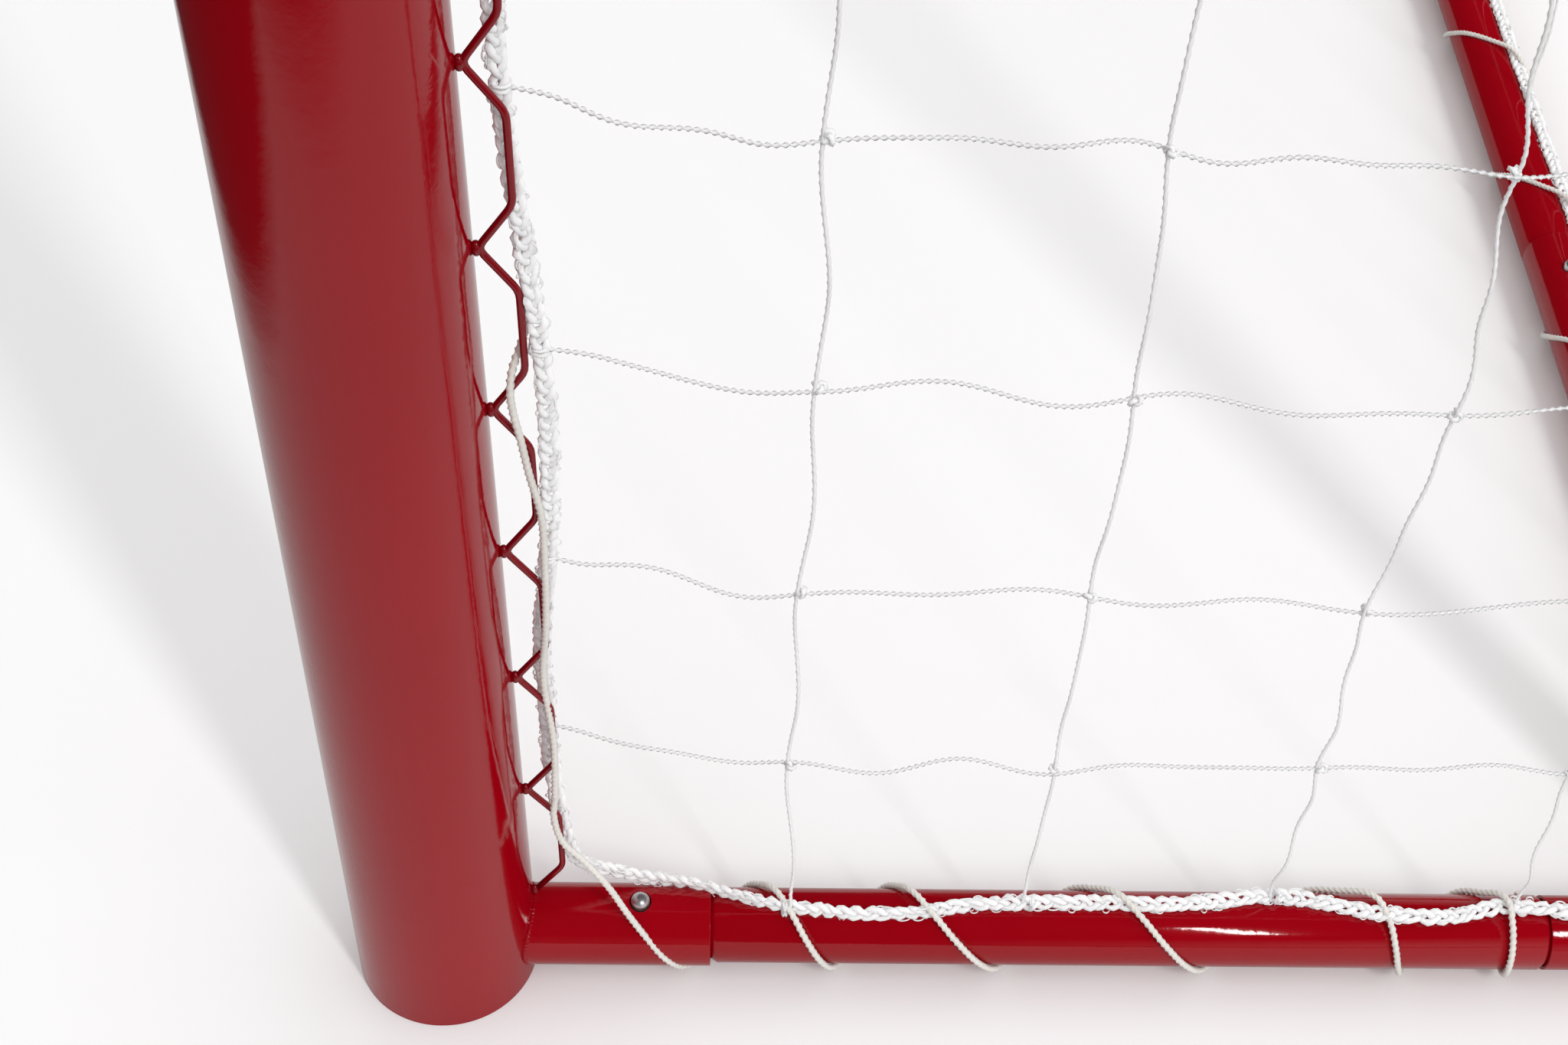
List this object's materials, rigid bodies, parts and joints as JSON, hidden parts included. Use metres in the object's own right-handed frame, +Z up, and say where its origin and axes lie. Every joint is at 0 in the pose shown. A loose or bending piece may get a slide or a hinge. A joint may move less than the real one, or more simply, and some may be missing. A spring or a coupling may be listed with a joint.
{
  "type": "soccer goal",
  "caption": "Small portable goal of plug-together round steel tube with a laced string net on its sides, back and top.",
  "frame": {"origin": "on the floor, under the middle of the whole goal's box", "axes": "+X along the goal line to the right post, +Y rearwards from the mouth, +Z up; the mouth faces -Y"},
  "size_m": [1.8288, 0.6332, 1.2192],
  "materials": {
    "red_paint": "gloss powder coat",
    "red_wire": "gloss powder coat",
    "bright_steel": "polished",
    "spring_steel": "dull",
    "dark_plastic": "matt",
    "net_twine": "twisted twine",
    "border_rope": "knitted rope",
    "lacing_cord": "twisted cord"
  },
  "bodies": {
    "goal": {"post_left": "red_paint", "crossbar_left": "red_paint", "side_tube_left": "red_paint", "rear_corner_left": "red_paint", "side_bow_left": "red_paint", "foot_plug_left": "dark_plastic", "rear_foot_left": "dark_plastic", "lacing_wire_post_left": "red_wire", "lacing_wire_bar_left": "red_wire", "net_side_left": "net_twine", "lacing_side_left": "lacing_cord", "lacing_post_left": "lacing_cord", "post_right": "red_paint", "crossbar_right": "red_paint", "side_tube_right": "red_paint", "rear_corner_right": "red_paint", "side_bow_right": "red_paint", "foot_plug_right": "dark_plastic", "rear_foot_right": "dark_plastic", "lacing_wire_post_right": "red_wire", "lacing_wire_bar_right": "red_wire", "net_side_right": "net_twine", "lacing_side_right": "lacing_cord", "lacing_post_right": "lacing_cord", "rear_middle_tube": "red_paint", "net_back": "net_twine", "net_top": "net_twine", "border_rope": "border_rope", "lacing_rear": "lacing_cord", "lacing_bar": "lacing_cord", "spring_clip_base_left": "spring_steel", "spring_clip_base_right": "spring_steel", "spring_clip_side_left": "spring_steel", "spring_clip_side_right": "spring_steel", "spring_clip_rear_left": "spring_steel", "spring_clip_rear_right": "spring_steel", "spring_clip_arm_left": "spring_steel", "spring_clip_arm_right": "spring_steel", "spring_clip_corner_left": "spring_steel", "spring_clip_corner_right": "spring_steel", "spring_clip_crossbar": "spring_steel"},
    "button_base_left": {"snap_button_base_left": "bright_steel"},
    "button_base_right": {"snap_button_base_right": "bright_steel"},
    "button_side_left": {"snap_button_side_left": "bright_steel"},
    "button_side_right": {"snap_button_side_right": "bright_steel"},
    "button_rear_left": {"snap_button_rear_left": "bright_steel"},
    "button_rear_right": {"snap_button_rear_right": "bright_steel"},
    "button_arm_left": {"snap_button_arm_left": "bright_steel"},
    "button_arm_right": {"snap_button_arm_right": "bright_steel"},
    "button_corner_left": {"snap_button_corner_left": "bright_steel"},
    "button_corner_right": {"snap_button_corner_right": "bright_steel"},
    "button_crossbar": {"snap_button_crossbar": "bright_steel"}
  },
  "joints": [
    {"name": "base_left_press", "type": "slide", "parent": "goal", "child": "button_base_left", "axis": [0, 0, 1], "range_m": [-0.0064, 0], "stiffness_N_per_m": 4000, "springref_m": 0.003},
    {"name": "base_right_press", "type": "slide", "parent": "goal", "child": "button_base_right", "axis": [0, 0, 1], "range_m": [-0.0064, 0], "stiffness_N_per_m": 4000, "springref_m": 0.003},
    {"name": "side_left_press", "type": "slide", "parent": "goal", "child": "button_side_left", "axis": [0, 0, 1], "range_m": [-0.0064, 0], "stiffness_N_per_m": 4000, "springref_m": 0.003},
    {"name": "side_right_press", "type": "slide", "parent": "goal", "child": "button_side_right", "axis": [0, 0, 1], "range_m": [-0.0064, 0], "stiffness_N_per_m": 4000, "springref_m": 0.003},
    {"name": "rear_left_press", "type": "slide", "parent": "goal", "child": "button_rear_left", "axis": [0, 0, 1], "range_m": [-0.0064, 0], "stiffness_N_per_m": 4000, "springref_m": 0.003},
    {"name": "rear_right_press", "type": "slide", "parent": "goal", "child": "button_rear_right", "axis": [0, 0, 1], "range_m": [-0.0064, 0], "stiffness_N_per_m": 4000, "springref_m": 0.003},
    {"name": "arm_left_press", "type": "slide", "parent": "goal", "child": "button_arm_left", "axis": [0, 0, -1], "range_m": [-0.0064, 0], "stiffness_N_per_m": 4000, "springref_m": 0.003},
    {"name": "arm_right_press", "type": "slide", "parent": "goal", "child": "button_arm_right", "axis": [0, 0, -1], "range_m": [-0.0064, 0], "stiffness_N_per_m": 4000, "springref_m": 0.003},
    {"name": "corner_left_press", "type": "slide", "parent": "goal", "child": "button_corner_left", "axis": [0, 0, -1], "range_m": [-0.0064, 0], "stiffness_N_per_m": 4000, "springref_m": 0.003},
    {"name": "corner_right_press", "type": "slide", "parent": "goal", "child": "button_corner_right", "axis": [0, 0, -1], "range_m": [-0.0064, 0], "stiffness_N_per_m": 4000, "springref_m": 0.003},
    {"name": "crossbar_press", "type": "slide", "parent": "goal", "child": "button_crossbar", "axis": [0, 0, -1], "range_m": [-0.0064, 0], "stiffness_N_per_m": 4000, "springref_m": 0.003}
  ]
}
